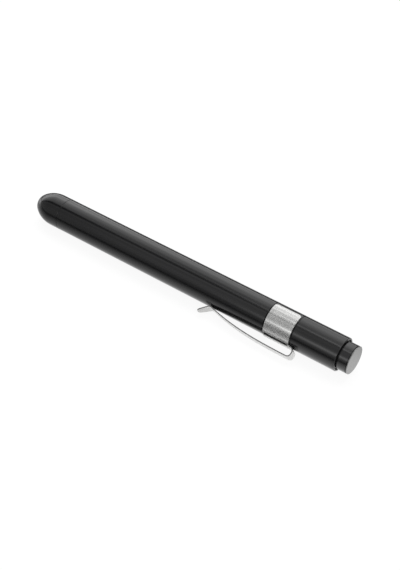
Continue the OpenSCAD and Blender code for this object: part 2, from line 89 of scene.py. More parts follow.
def newMaterial(name, **settings):
    material = bpy.data.materials.new(name)
    material.use_nodes = True
    shader = material.node_tree.nodes["Principled BSDF"]
    for key, value in settings.items():
        shader.inputs[key.replace("_", " ")].default_value = value
    return material, material.node_tree, shader


def wire(tree, source, output, shader, socket):
    tree.links.new(source.outputs[output], shader.inputs[socket])


def setRamp(node, stops):
    ramp = node.color_ramp
    while len(ramp.elements) < len(stops):
        ramp.elements.new(0.5)
    for element, (place, colour) in zip(ramp.elements, stops):
        element.position = place
        element.color = colour if len(colour) == 4 else [*colour, 1]


def grey(level):
    return [level, level, level, 1]


def varyOver(tree, shader, pattern, low, high, roughness, tintSpan=(0.3, 0.7), roughSpan=(0, 1), bump=0,
             relief=None):
    # colour, roughness and bump that follow one noise pattern; the bump may have a finer one of its own
    tint = addNode(tree, "ValToRGB", [("Fac", pattern, "Fac")])
    setRamp(tint, [(tintSpan[0], linear(low)), (tintSpan[1], linear(high))])
    wire(tree, tint, "Color", shader, "Base Color")
    satin = addNode(tree, "MapRange", [("Value", pattern, "Fac")], From_Min=roughSpan[0],
                    From_Max=roughSpan[1], To_Min=roughness[0], To_Max=roughness[1])
    wire(tree, satin, "Result", shader, "Roughness")
    if bump:
        skin = addNode(tree, "Bump", [("Height", relief or pattern, "Fac")], Strength=bump,
                       Distance=bumpDepth)
        wire(tree, skin, "Normal", shader, "Normal")


def meshPiece(name, verts, faces, sharpAngle=32):
    mesh = bpy.data.meshes.new(name)
    mesh.from_pydata(verts, [], faces)
    work = bmesh.new()
    work.from_mesh(mesh)
    bmesh.ops.remove_doubles(work, verts=work.verts, dist=1e-7)
    bmesh.ops.recalc_face_normals(work, faces=work.faces)
    work.to_mesh(mesh)
    work.free()
    mesh.polygons.foreach_set("use_smooth", [True] * len(mesh.polygons))
    mesh.set_sharp_from_angle(angle=math.radians(sharpAngle))
    piece = bpy.data.objects.new(name, mesh)
    bpy.context.scene.collection.objects.link(piece)
    return piece


def roundCorners(corners, steps=6, hold=0.12, most=0.45, mostHeld=0.48):
    # corners are (along, out, radius); returns (along, out) with each corner rounded, and a point held
    # close on both sides of it so that the long faces shade straight
    line = []
    for i, (along, out, radius) in enumerate(corners):
        here = Vector((along, out))
        back = Vector(corners[i - 1][:2]) - here
        ahead = Vector(corners[(i + 1) % len(corners)][:2]) - here
        if radius <= 0 or back.length < 1e-9 or ahead.length < 1e-9:
            line.append((along, out))
            continue
        half = back.angle(ahead) / 2
        reach = min(radius / math.tan(half), most * back.length, most * ahead.length)
        radius = reach * math.tan(half)
        middle = (back.normalized() + ahead.normalized()).normalized()
        centre = here + middle * (radius / math.sin(half))
        first = here + back.normalized() * reach - centre
        turn = first.angle_signed(here + ahead.normalized() * reach - centre)
        line.append(tuple(here + back.normalized() * min(reach + hold, mostHeld * back.length)))
        for k in range(steps + 1):
            a = -turn * k / steps
            line.append((centre.x + first.x * math.cos(a) - first.y * math.sin(a),
                         centre.y + first.x * math.sin(a) + first.y * math.cos(a)))
        line.append(tuple(here + ahead.normalized() * min(reach + hold, mostHeld * ahead.length)))
    return line


def onAxis(along, out, angle):
    # millimetres behind the nose seam and out from the axis, to metres in the frame
    return (seamX + along * mm, axisY + out * mm * math.cos(angle), axisZ + out * mm * math.sin(angle))


def turnedPiece(name, outline, steps=128, loop=True, sharpAngle=32):
    verts, faces, rows = [], [], []
    for along, out in outline:
        if out < 1e-6:
            rows.append([len(verts)] * steps)
            verts.append(onAxis(along, 0, 0))
        else:
            rows.append(list(range(len(verts), len(verts) + steps)))
            verts += [onAxis(along, out, math.tau * k / steps) for k in range(steps)]
    pairs = list(zip(rows, rows[1:])) + ([(rows[-1], rows[0])] if loop else [])
    for a, b in pairs:
        for k in range(steps):
            ring = [a[k], a[(k + 1) % steps], b[(k + 1) % steps], b[k]]
            face = list(dict.fromkeys(ring))
            if len(face) > 2:
                faces.append(face)
    return meshPiece(name, verts, faces, sharpAngle)


def coilPiece(name, outStart, outEnd, start, end, turns, wireWidth, perTurn=28, sides=12, sharpAngle=50):
    verts, faces = [], []
    wireR = wireWidth / 2
    count = int(turns * perTurn)
    for i in range(count + 1):
        share = i / count
        out = outStart + (outEnd - outStart) * share
        along = start + wireR + (end - start - wireWidth) * share
        for j in range(sides):
            a = math.tau * j / sides
            verts.append(onAxis(along + wireR * math.sin(a), out + wireR * math.cos(a),
                                math.tau * turns * share))
    for i in range(count):
        for j in range(sides):
            k = (j + 1) % sides
            faces.append([i * sides + j, i * sides + k, (i + 1) * sides + k, (i + 1) * sides + j])
    faces += [list(range(sides)), list(range(count * sides, (count + 1) * sides))]
    return meshPiece(name, verts, faces, sharpAngle)


def dress(piece, material):
    piece.data.materials.clear()
    piece.data.materials.append(material)
    return piece


def place(piece, body, material, slot, *nodes):
    dress(piece, material)
    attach(piece, body)
    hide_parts(*nodes)
    return piece


# materials

# black anodised aluminium, drawn, satin polished and dyed: deep neutral black under a clear
# oxide skin, with broad soft reflections and very faint draw lines along the tube
anodised = dict(colour="#0c0c0d", paler="#131314", roughness=(0.13, 0.2), lineWidth=0.35, lineLength=45,
                speck=0.25, bump=0.03)
anodisedBlack, tree, shader = newMaterial("anodisedAluminium", IOR=1.5)
spot = addNode(tree, "TexCoord")
acrossLines = perMetre / anodised["lineWidth"]
drawn = addNode(tree, "Mapping", [("Vector", spot, "Object")],
                Scale=(perMetre / anodised["lineLength"], acrossLines, acrossLines))
lines = addNode(tree, "TexNoise", [("Vector", drawn, "Vector")], Scale=1.0, Detail=3.0)
grain = addNode(tree, "TexNoise", [("Vector", spot, "Object")], Scale=perMetre / anodised["speck"],
                Detail=2.0)
varyOver(tree, shader, lines, anodised["colour"], anodised["paler"], anodised["roughness"],
         tintSpan=(0.3, 0.75), roughSpan=(0.3, 0.7), bump=anodised["bump"], relief=grain)

# stainless spring steel, brushed along the barrel before forming: bright, with fine parallel
# streaks that stretch the reflections across them
steel = dict(colour="#cccccb", darker="#bbbbba", roughness=(0.14, 0.75), streakWidth=0.12, streakLength=60,
             bump=0.06, edge="#828282", edgeShadeDarker="#6e6e6e", edgeGrain=0.12)
springSteel, tree, shader = newMaterial("brushedSpringSteel", Metallic=1.0, Anisotropic=0.4,
                                        Anisotropic_Rotation=0.25)
flat = addNode(tree, "UVMap", uv_map="flatSheet")
brushed = addNode(tree, "Mapping", [("Vector", flat, "UV")],
                  Scale=(1 / steel["streakLength"], 1 / steel["streakWidth"], 1))
streaks = addNode(tree, "TexNoise", [("Vector", brushed, "Vector")], Scale=1.0, Detail=1.0)
varyOver(tree, shader, streaks, steel["darker"], steel["colour"], steel["roughness"],
         tintSpan=(0.32, 0.68), roughSpan=(0.46, 0.56), bump=steel["bump"])
along = addNode(tree, "Tangent", direction_type="UV_MAP", uv_map="flatSheet")
wire(tree, along, "Tangent", shader, "Tangent")

# aluminium faced on a lathe and lightly satined: grey, with fine rings round the centre
facing = dict(colour="#8c8c8b", darker="#7b7b7b", roughness=(0.36, 0.48), ringPitch=0.16, bump=0.1)
facedAluminium, tree, shader = newMaterial("facedAluminium", Metallic=1.0)
spot = addNode(tree, "TexCoord")
centred = addNode(tree, "Mapping", [("Vector", spot, "Object")], Location=(0, -axisY, -axisZ),
                  Scale=(0, 1, 1))
fromCentre = addNode(tree, "VectorMath", [(0, centred, "Vector")], operation="LENGTH")
ringCount = addNode(tree, "Math", [(0, fromCentre, "Value")], operation="MULTIPLY",
                    i1=perMetre / facing["ringPitch"])
rings = addNode(tree, "TexNoise", [("W", ringCount, "Value")], noise_dimensions="1D", Scale=1.0, Detail=2.0)
varyOver(tree, shader, rings, facing["darker"], facing["colour"], facing["roughness"], bump=facing["bump"])

# ABS, moulded in black: a touch paler and softer than the anodised tube, with a fine spark grain
moulding = dict(colour="#0e0e0f", paler="#151516", roughness=(0.14, 0.24), grain=0.18, bump=0.05)
mouldedBlack, tree, shader = newMaterial("mouldedAbs", IOR=1.54)
spot = addNode(tree, "TexCoord")
spark = addNode(tree, "TexNoise", [("Vector", spot, "Object")], Scale=perMetre / moulding["grain"],
                Detail=3.0)
varyOver(tree, shader, spark, moulding["colour"], moulding["paler"], moulding["roughness"],
         tintSpan=(0.35, 0.7), bump=moulding["bump"])

# acrylic, moulded and polished: clear, with the faintest ripple left by the mould
acrylic = dict(colour="#fbfdfe", duller="#f6fafc", roughness=(0.01, 0.04), ripple=1.6)
clearAcrylic, tree, shader = newMaterial("polishedAcrylic", IOR=1.49, Transmission_Weight=1.0)
spot = addNode(tree, "TexCoord")
waves = addNode(tree, "TexNoise", [("Vector", spot, "Object")], Scale=perMetre / acrylic["ripple"],
                Detail=1.0)
varyOver(tree, shader, waves, acrylic["duller"], acrylic["colour"], acrylic["roughness"])


def plainFinish(name, low, high, roughness, size, stretch=(1, 1, 1), bump=0.08, spread=0.05, **settings):
    # a two-tone finish over noise whose grain is size millimetres wide
    material, tree, shader = newMaterial(name, **settings)
    spot = addNode(tree, "TexCoord")
    scaled = addNode(tree, "Mapping", [("Vector", spot, "Object")],
                     Scale=[perMetre / size * s for s in stretch])
    noise = addNode(tree, "TexNoise", [("Vector", scaled, "Vector")], Scale=1.0, Detail=3.0)
    varyOver(tree, shader, noise, low, high, (roughness - spread, roughness + spread), bump=bump)
    return material


# the same spring steel where the sheet was blanked: the cut edge is torn and dull, and its colour is darkened
# further as painted shade for the shade line along the ring's edges
blankedEdgeAndShade = plainFinish("blankedSteelAndPaintedShade", steel["edgeShadeDarker"], steel["edge"], 0.45, steel["edgeGrain"],
                          Metallic=0.85)
# vacuum-metallised ABS: a bright mirror bowl with a trace of orange peel
mirrorBowl = plainFinish("metallisedAbs", "#d9dadb", "#e6e7e8", 0.1, 0.6, Metallic=1.0)
# silicone over yellow phosphor: the lamp's lens, glossy and egg-yellow when unlit
phosphor = plainFinish("phosphorSilicone", "#d9b63a", "#efd15e", 0.18, 0.25, IOR=1.42)
# glass-epoxy laminate under solder mask: dark green with the weave just showing
maskedBoard = plainFinish("maskedLaminate", "#173d24", "#215231", 0.35, 0.4, IOR=1.5)
# free-cutting brass, turned: yellow metal with tool marks round it
turnedBrass = plainFinish("turnedBrass", "#ab9150", "#c8b070", 0.26, 0.2, (4, 0.3, 0.3), Metallic=1.0)
# music wire, nickel plated: bright grey, lightly drawn
springWire = plainFinish("nickelledWire", "#a9aaa8", "#c4c5c3", 0.25, 0.15, Metallic=1.0)
# acetal, turned: milky white and waxy
acetal = plainFinish("turnedAcetal", "#d9d5c9", "#e6e3d8", 0.45, 0.5, IOR=1.48)
# nitrile rubber, moulded: dull black
nitrile = plainFinish("mouldedNitrile", "#101010", "#1a1a1a", 0.7, 0.2, bump=0.15, IOR=1.52)
# deep-drawn steel can, nickel plated: soft grey metal
drawnCan = plainFinish("nickelledCan", "#9a9b9d", "#b4b5b7", 0.32, 0.3, (0.1, 1, 1), Metallic=1.0)
# PVC film shrunk on: plain blue with a slight sheen
shrinkFilm = plainFinish("shrunkFilm", "#2c5487", "#365f95", 0.38, 0.9, IOR=1.53)
print("materials done")


# barrel: one drawn tube, its tail edge rounded and its bores stepped
tube = dict(out=6.4, length=126.3, threadBore=5.85, threadDepth=5.2, cellBore=5.5, tailBore=5.8,
            tailSeat=100.8, tailEdge=0.38, seamEdge=0.12, boreEdge=0.14, ringSides=(96.88, 108.28),
            groove=0.22, grooveEdge=0.02)
ringGrooves = []
for centre in tube["ringSides"]:
    ringGrooves += [(centre - tube["groove"], tube["out"], tube["grooveEdge"]),
                    (centre, tube["out"] - tube["groove"], 0),
                    (centre + tube["groove"], tube["out"], tube["grooveEdge"])]
barrelTube = turnedPiece("barrelTube", roundCorners([
    (0, tube["threadBore"], tube["boreEdge"]), (0, tube["out"], tube["seamEdge"]), *ringGrooves,
    (tube["length"], tube["out"], tube["tailEdge"]), (tube["length"], tube["tailBore"], tube["boreEdge"]),
    (tube["tailSeat"], tube["tailBore"], 0), (tube["tailSeat"], tube["cellBore"], 0),
    (tube["threadDepth"], tube["cellBore"], 0), (tube["threadDepth"], tube["threadBore"], 0)]), steps=192)
place(barrelTube, "barrel", anodisedBlack, "black_anodised", "barrel")

# nose cap: a straight skirt, a long flank arc, then a round tip with the light opening in it
nose = dict(skirt=4.9, dome=9.2, tipR=4.9, seam=0.08, seamEdge=0.12, boreEdge=0.08, opening=2.2, lip=12.6,
            lipEdge=0.12, lensSeat=11.6, reflectorSeat=8.0, boardSeat=4.6, lensBore=2.6, reflectorBore=3.4,
            boardBore=4.6, insertBore=5.2, flankSteps=40, tipSteps=24)
rise, drop = nose["dome"] - nose["tipR"], tube["out"] - nose["tipR"]
flankR = (rise * rise / drop + nose["tipR"] + tube["out"]) / 2
flankEnd = math.asin(rise / (flankR - nose["tipR"]))
tipCentre = -nose["skirt"] - nose["dome"] + nose["tipR"]
lipAngle = math.acos(nose["opening"] / nose["tipR"])
flank, tip = [], []
for i in range(nose["flankSteps"] + 1):
    a = flankEnd * i / nose["flankSteps"]
    flank.append((-nose["skirt"] - flankR * math.sin(a), tube["out"] - flankR + flankR * math.cos(a), 0))
for i in range(1, nose["tipSteps"]):
    a = flankEnd + (lipAngle - flankEnd) * i / nose["tipSteps"]
    tip.append((tipCentre - nose["tipR"] * math.sin(a), nose["tipR"] * math.cos(a), 0))
lipEdge = (tipCentre - nose["tipR"] * math.sin(lipAngle), nose["opening"], nose["lipEdge"])
noseShell = turnedPiece("noseShell", roundCorners([
    (-nose["seam"], nose["insertBore"], nose["boreEdge"]), (-nose["seam"], tube["out"], nose["seamEdge"]),
    *flank, *tip, lipEdge,
    (-nose["lip"], nose["opening"], 0), (-nose["lip"], nose["lensBore"], 0),
    (-nose["lensSeat"], nose["lensBore"], 0), (-nose["lensSeat"], nose["reflectorBore"], 0),
    (-nose["reflectorSeat"], nose["reflectorBore"], 0), (-nose["reflectorSeat"], nose["boardBore"], 0),
    (-nose["boardSeat"], nose["boardBore"], 0), (-nose["boardSeat"], nose["insertBore"], 0)]), steps=192)
place(noseShell, "nose", anodisedBlack, "black_anodised", "nose_cap")

# lens: a flange behind the lip and a crown that carries on the dome
lensCut = dict(flange=2.56, flangeEnd=12.1, neck=2.13, crownSteps=20)
crownStart = math.acos(lensCut["neck"] / nose["tipR"])
crown = []
for i in range(lensCut["crownSteps"] + 1):
    a = crownStart + (math.pi / 2 - crownStart) * i / lensCut["crownSteps"]
    crown.append((tipCentre - nose["tipR"] * math.sin(a), nose["tipR"] * math.cos(a)))
lensPiece = turnedPiece("frontLens", [
    (-nose["lensSeat"], 0), (-nose["lensSeat"], lensCut["flange"]),
    (-lensCut["flangeEnd"], lensCut["flange"]), (-lensCut["flangeEnd"], lensCut["neck"]), *crown],
    steps=96, loop=False)
place(lensPiece, "nose", clearAcrylic, "clear_lens", "lens")

# reflector: a deep bowl on a flanged body
bowl = dict(throat=1.6, rim=2.56, body=3.36, flange=4.56, front=11.55, back=7.4, shoulder=7.95, edge=0.1,
            bowlSteps=24)
bowlLine = []
for i in range(bowl["bowlSteps"] + 1):
    share = i / bowl["bowlSteps"]
    bowlLine.append((-bowl["back"] - (bowl["front"] - bowl["back"]) * share ** 2,
                     bowl["throat"] + (bowl["rim"] - bowl["throat"]) * i / bowl["bowlSteps"], 0))
reflectorBowl = turnedPiece("reflectorBowl", roundCorners([
    *bowlLine, (-bowl["front"], bowl["body"], bowl["edge"]), (-bowl["shoulder"], bowl["body"], 0),
    (-bowl["shoulder"], bowl["flange"], bowl["edge"]), (-bowl["back"], bowl["flange"], bowl["edge"])]),
    steps=96)
place(reflectorBowl, "nose", mirrorBowl, "reflector_chrome", "reflector")

# lamp: a short body under a half-round dome
lamp = dict(out=1.4, foot=7.35, top=8.15, domeSteps=16)
lampLine = [(-lamp["foot"], 0), (-lamp["foot"], lamp["out"])]
for i in range(lamp["domeSteps"] + 1):
    a = math.pi / 2 * i / lamp["domeSteps"]
    lampLine.append((-lamp["top"] - lamp["out"] * math.sin(a), lamp["out"] * math.cos(a)))
lampDome = turnedPiece("lampDome", lampLine, steps=64, loop=False)
place(lampDome, "nose", phosphor, "lamp_phosphor", "led")

# insert: pressed into the nose, with a groove for its seal and a rolled thread
insert = dict(hole=3.9, front=6.3, frontOut=4.56, shoulder=4.55, seatOut=5.16, crest=5.75, root=5.32,
              land=0.6, groove=5.05, grooveEnd=1.65, tail=5.15, pitch=0.8, runOut=0.3, rowStep=0.05,
              threadSteps=120)
threadSteps = insert["threadSteps"]
insertLine = [(-insert["front"], insert["hole"]), (-insert["front"], insert["frontOut"]),
              (-insert["shoulder"], insert["frontOut"]), (-insert["shoulder"], insert["seatOut"]),
              (0, insert["seatOut"]), (0, insert["crest"]), (insert["land"], insert["crest"]),
              (insert["land"], insert["groove"]), (insert["grooveEnd"], insert["groove"])]
threadRows = int((insert["tail"] - insert["grooveEnd"]) / insert["rowStep"]) + 1
verts, faces = [], []


def threadOut(along, angle):
    # a flat crest, two flanks and a flat root, each a quarter of the pitch, run out at both ends
    phase = (along / insert["pitch"] - angle / math.tau) % 1
    height = min(max(1.5 - 4 * abs(phase - 0.5), 0), 1)
    ends = min((along - insert["grooveEnd"]) / insert["runOut"],
               (insert["tail"] - along) / insert["runOut"], 1)
    return insert["root"] + (insert["crest"] - insert["root"]) * height * max(ends, 0)


for k in range(threadSteps):
    a = math.tau * k / threadSteps
    column = [onAxis(x, r, a) for x, r in insertLine]
    for i in range(threadRows):
        x = insert["grooveEnd"] + (insert["tail"] - insert["grooveEnd"]) * i / (threadRows - 1)
        column.append(onAxis(x, threadOut(x, a), a))
    column.append(onAxis(insert["tail"], insert["hole"], a))
    verts += column
perColumn = len(insertLine) + threadRows + 1
for k in range(threadSteps):
    for i in range(perColumn):
        j, m = (i + 1) % perColumn, (k + 1) % threadSteps
        faces.append([k * perColumn + i, k * perColumn + j, m * perColumn + j, m * perColumn + i])
threadedInsert = meshPiece("threadedInsert", verts, faces, sharpAngle=28)
place(threadedInsert, "nose", turnedBrass, "brass", "head_insert")
print("barrel and nose done")


# push-button with its end disc, and the bush that keeps it in
press = dict(out=5.33, flangeOut=5.73, flangeStart=120.25, flangeEnd=121.75, relief=5.12, reliefStart=125.9,
             reliefEnd=126.75, shoulder=130.14, edge=0.12, soft=0.1, fine=0.05, groove=4.96, end=130.46,
             recess=4.9, recessFloor=129.95, wallEnd=128.75, stem=2.44)
pushButton = turnedPiece("pushButton", roundCorners([
    (press["flangeStart"], press["stem"], 0), (press["flangeStart"], press["flangeOut"], press["soft"]),
    (press["flangeEnd"], press["flangeOut"], press["soft"]), (press["flangeEnd"], press["out"], 0),
    (press["reliefStart"], press["out"], press["fine"]),
    (press["reliefStart"], press["relief"], press["soft"]),
    (press["reliefEnd"], press["relief"], press["soft"]), (press["reliefEnd"], press["out"], press["soft"]),
    (press["shoulder"], press["out"], press["edge"]), (press["shoulder"], press["groove"], press["fine"]),
    (press["end"], press["groove"], 0), (press["end"], press["recess"], 0),
    (press["recessFloor"], press["recess"], 0), (press["recessFloor"], 0, 0),
    (press["wallEnd"], 0, 0), (press["wallEnd"], press["stem"], 0)]), steps=160)
place(pushButton, "button", mouldedBlack, "black_plastic", "button")

disc = dict(out=5.3, shank=4.86, start=130.0, head=130.5, end=130.8, edge=0.12, underEdge=0.05)
endDisc = turnedPiece("endDisc", roundCorners([
    (disc["start"], 0, 0), (disc["start"], disc["shank"], 0), (disc["head"], disc["shank"], 0),
    (disc["head"], disc["out"], disc["underEdge"]), (disc["end"], disc["out"], disc["edge"]),
    (disc["end"], 0, 0)]), steps=160, loop=False)
place(endDisc, "button", facedAluminium, "satin_aluminium", "button_disc")

bush = dict(out=5.76, hole=5.4, start=121.8, end=125.3, innerEdge=0.06, outerEdge=0.1, mouthEdge=0.12)
tailBush = turnedPiece("tailBush", roundCorners([
    (bush["start"], bush["hole"], bush["innerEdge"]), (bush["start"], bush["out"], bush["innerEdge"]),
    (bush["end"], bush["out"], bush["outerEdge"]), (bush["end"], bush["hole"], bush["mouthEdge"])]),
    steps=160)
place(tailBush, "barrel", mouldedBlack, "black_plastic", "tail_bush")

# springs, coiled from round wire; the button's spring, which shortens as the button goes in, gets a mesh of
# its own
# each is (body, node, radius at its start and end, start, end, turns, wire)
coils = dict(
    batterySpring=("barrel", "battery_spring", 2.2, 4.33, 95.6, 100.25, 3, 0.6),
    frontSpring=("nose", "front_spring", 1.17, 1.17, -6.3, 0.55, 6, 0.3),
    returnSpring=("barrel", "return_spring", 3.15, 3.15, 109.2, 120.2, 6, 0.5))
for name, (body, node, outStart, outEnd, start, end, turns, width) in coils.items():
    coil = coilPiece(name, outStart, outEnd, start, end, turns, width)
    place(coil, body, springWire, "spring_wire", node)
    if name == "returnSpring":
        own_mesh(coil)
print("button and springs done")


# pocket clip: one sheet, an open ring round the barrel whose tongue bends back into the strip
clip = dict(thick=0.4, ringIn=6.44, ringStart=97.35, ringEnd=108.05, wrap=132, cornerR=1.1, halfWidth=2.3,
            rootR=0.5, tongue=0.75, bendHeight=3.75, square=2.6, arm=33.5, seat=6.72, bow=2.76, bead=1.5,
            flare=39, flareLength=4.6, tipHalf=1.5, taper=1.3, tipR=1.1, edge=0.13, edgeSteps=3, rimAngle=50,
            sharpAngle=40, flatten=1.5, flexTilt=0.12)
# rows along the strip and the ring, columns across them, and the columns and end rows of the slots
grid = dict(tongue=3, bend=32, bow=60, bead=12, flare=20, ring=22, half=8, plain=24, corner=8, slotFrom=1,
            slotTo=4, bridge=3)
midR = clip["ringIn"] + clip["thick"] / 2
bendStart = clip["ringEnd"] + clip["tongue"]
bendR = (clip["bendHeight"] - clip["thick"]) / 2
topOut = midR + 2 * bendR
beadIn = math.atan(clip["bow"] * (topOut - clip["seat"]) / clip["arm"])
armDrop = topOut - clip["seat"] - clip["bead"] * (1 - math.cos(beadIn))
armEnd = math.atan(clip["bow"] * armDrop / clip["arm"])

# middle line of the strip from the ring's edge to the tip, as (out, along)
middle = [(midR, clip["ringEnd"] + clip["tongue"] * i / grid["tongue"]) for i in range(grid["tongue"] + 1)]
for i in range(1, grid["bend"] + 1):
    across, deep = math.cos(math.pi * i / grid["bend"]), math.sin(math.pi * i / grid["bend"])
    middle.append((midR + bendR - bendR * math.copysign(abs(across) ** (2 / clip["square"]), across),
                   bendStart + bendR * max(deep, 0) ** (2 / clip["square"])))
middle += [(topOut - armDrop * (i / grid["bow"]) ** clip["bow"], bendStart - clip["arm"] * i / grid["bow"])
           for i in range(1, grid["bow"] + 1)]
beadOut, beadAlong = middle[-1]
centreOut = beadOut + clip["bead"] * math.cos(armEnd)
centreAlong = beadAlong - clip["bead"] * math.sin(armEnd)
flareA = math.radians(clip["flare"])
for i in range(1, grid["bead"] + 1):
    a = -armEnd + (armEnd + flareA) * i / grid["bead"]
    middle.append((centreOut - clip["bead"] * math.cos(a), centreAlong - clip["bead"] * math.sin(a)))
lastOut, lastAlong = middle[-1]
for i in range(1, grid["flare"] + 1):
    reach = clip["flareLength"] * math.sin(math.pi / 2 * i / grid["flare"])
    middle.append((lastOut + reach * math.sin(flareA), lastAlong - reach * math.cos(flareA)))
lengths = [0.0]
for (o0, x0), (o1, x1) in zip(middle, middle[1:]):
    lengths.append(lengths[-1] + math.hypot(o1 - o0, x1 - x0))
stripLength = lengths[-1]


def rounded(radius, fromEnd):
    # how far a rounded corner draws an edge in, at a distance from the corner's end
    over = max(radius - fromEnd, 0)
    return radius - math.sqrt(max(radius ** 2 - over ** 2, 0))


def halfWidthAt(done):
    # fillet at the root, narrower flare, rounded tip
    left = stripLength - done
    narrow = (clip["halfWidth"] - clip["tipHalf"]) * max(1 - left / clip["flareLength"], 0) ** clip["taper"]
    return clip["halfWidth"] - narrow + rounded(clip["rootR"], done) - rounded(clip["tipR"], left)


def clipPoint(out, side, along):
    # clip frame in millimetres to metres in the frame
    at = Vector((seamX + along * mm, axisY, axisZ))
    return at + clipOut * (out * mm) + clipSide * (side * mm)


def sheetPoint(step, side):
    # the sheet follows the ring at the root and flattens towards the bend
    out, along = middle[step]
    curve = max(1 - lengths[step] / (clip["tongue"] + bendR), 0) ** clip["flatten"] / midR
    if curve < 1e-4:
        return clipPoint(out, side, along)
    return clipPoint(out - (1 - math.cos(side * curve)) / curve, math.sin(side * curve) / curve, along)


rootHalf = clip["halfWidth"] + clip["rootR"]
stripSides = [math.sin(math.pi / 2 * (i / grid["half"] - 1)) * rootHalf for i in range(2 * grid["half"] + 1)]
wrapEnd = math.radians(clip["wrap"]) * midR
plainSides = [rootHalf + (wrapEnd - clip["cornerR"] - rootHalf) * i / grid["plain"]
              for i in range(1, grid["plain"] + 1)]
plainSides += [wrapEnd - clip["cornerR"] * (1 - math.sin(math.pi / 2 * i / grid["corner"]))
               for i in range(1, grid["corner"] + 1)]
ringSides = [-s for s in reversed(plainSides)] + stripSides + plainSides
verts, faces, flatSpots = [], [], []
for i in range(grid["ring"] + 1):
    for side in ringSides:
        inset = rounded(clip["cornerR"], wrapEnd - abs(side))
        share = 0.5 - 0.5 * math.cos(math.pi * i / grid["ring"])
        along = clip["ringStart"] + inset + (clip["ringEnd"] - clip["ringStart"] - 2 * inset) * share
        verts.append(clipPoint(midR * math.cos(side / midR), midR * math.sin(side / midR), along))
        flatSpots.append((along, side))
wide = len(ringSides)
# a relief slot along the ring on each side of the strip, with a short bridge at each end
slotColumns = []
for j in range(grid["slotFrom"], grid["slotTo"] + 1):
    slotColumns += [len(plainSides) + j, len(plainSides) + 2 * grid["half"] - 1 - j]
for i in range(grid["ring"]):
    for j in range(wide - 1):
        if j not in slotColumns or not grid["bridge"] <= i < grid["ring"] - grid["bridge"]:
            faces.append([i * wide + j, i * wide + j + 1, (i + 1) * wide + j + 1, (i + 1) * wide + j])
edgeStart = grid["ring"] * wide + len(plainSides)
lastRow = list(range(edgeStart, edgeStart + len(stripSides)))
for step in range(1, len(middle)):
    share = halfWidthAt(lengths[step]) / rootHalf
    row = []
    for side in stripSides:
        row.append(len(verts))
        verts.append(sheetPoint(step, side * share))
        flatSpots.append((clip["ringEnd"] + lengths[step], side * share))
    for j in range(len(row) - 1):
        faces.append([lastRow[j], lastRow[j + 1], row[j + 1], row[j]])
    lastRow = row

sheet = bpy.data.meshes.new("pocketClip")
sheet.from_pydata(verts, [], faces)
flatMap = sheet.uv_layers.new(name="flatSheet")
for loop in sheet.loops:
    flatMap.data[loop.index].uv = flatSpots[loop.vertex_index]
cut = bmesh.new()
cut.from_mesh(sheet)
bmesh.ops.delete(cut, geom=[v for v in cut.verts if not v.link_faces], context="VERTS")
cut.to_mesh(sheet)
cut.free()
sheet.polygons.foreach_set("use_smooth", [True] * len(sheet.polygons))
for finish in (springSteel, blankedEdgeAndShade):
    sheet.materials.append(finish)
pocketClip = bpy.data.objects.new("pocketClip", sheet)
bpy.context.scene.collection.objects.link(pocketClip)
thicken = pocketClip.modifiers.new("thicken", "SOLIDIFY")
thicken.thickness, thicken.offset, thicken.use_even_offset = clip["thick"] * mm, 0, True
# the rim faces take the darkened edge finish, which is partly painted shade
thicken.material_offset_rim = 1
soften = pocketClip.modifiers.new("soften", "BEVEL")
soften.width, soften.segments, soften.limit_method = clip["edge"] * mm, clip["edgeSteps"], "ANGLE"
soften.angle_limit = math.radians(clip["rimAngle"])
formed = pocketClip.evaluated_get(bpy.context.evaluated_depsgraph_get())
pocketClip.data = bpy.data.meshes.new_from_object(formed)
pocketClip.modifiers.clear()
pocketClip.data.set_sharp_from_angle(angle=math.radians(clip["sharpAngle"]))
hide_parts("clip_band", "clip_arm")
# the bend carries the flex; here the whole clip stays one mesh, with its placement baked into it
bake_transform(pocketClip)
print("clip done,", len(pocketClip.data.vertices), "points")


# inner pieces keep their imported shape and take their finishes
innerFinish = dict(
    lens_seal=nitrile, head_seal=nitrile, led_board=maskedBoard, contact_insulator=acetal,
    front_contact=turnedBrass, front_cell=drawnCan, rear_cell=drawnCan, front_cell_sleeve=shrinkFilm,
    rear_cell_sleeve=shrinkFilm, spring_contact=turnedBrass, switch_base=acetal, contact_ring=turnedBrass,
    switch_sleeve=acetal, plunger=acetal, bridge_contact=turnedBrass)
for node, finish in innerFinish.items():
    dress(frame["nodes"][node], finish)
print("inner finishes done")


# stage: a pale floor under even soft light
floorCut = dict(size=3.0, colour="#f4f4f4", roughness=0.9, gloss=0.1, lift=0.91, fadeFrom=0.15, fadeTo=0.5,
                reach=100, ends=200, most=3.0,
                lengthwise=[(-170, 2.4), (-110, 0.76), (-72, 0.76), (72, 1.4)],
                glow=1.05, halfAt=23, steepness=2.4, steps=24)
floorMesh = bpy.data.meshes.new("studioFloor")
half = floorCut["size"] / 2
floorCorners = [(-half, -half, 0), (half, -half, 0), (half, half, 0), (-half, half, 0)]
floorMesh.from_pydata(floorCorners, [], [(0, 1, 2, 3)])
studioFloor = bpy.data.objects.new("studioFloor", floorMesh)
bpy.context.scene.collection.objects.link(studioFloor)
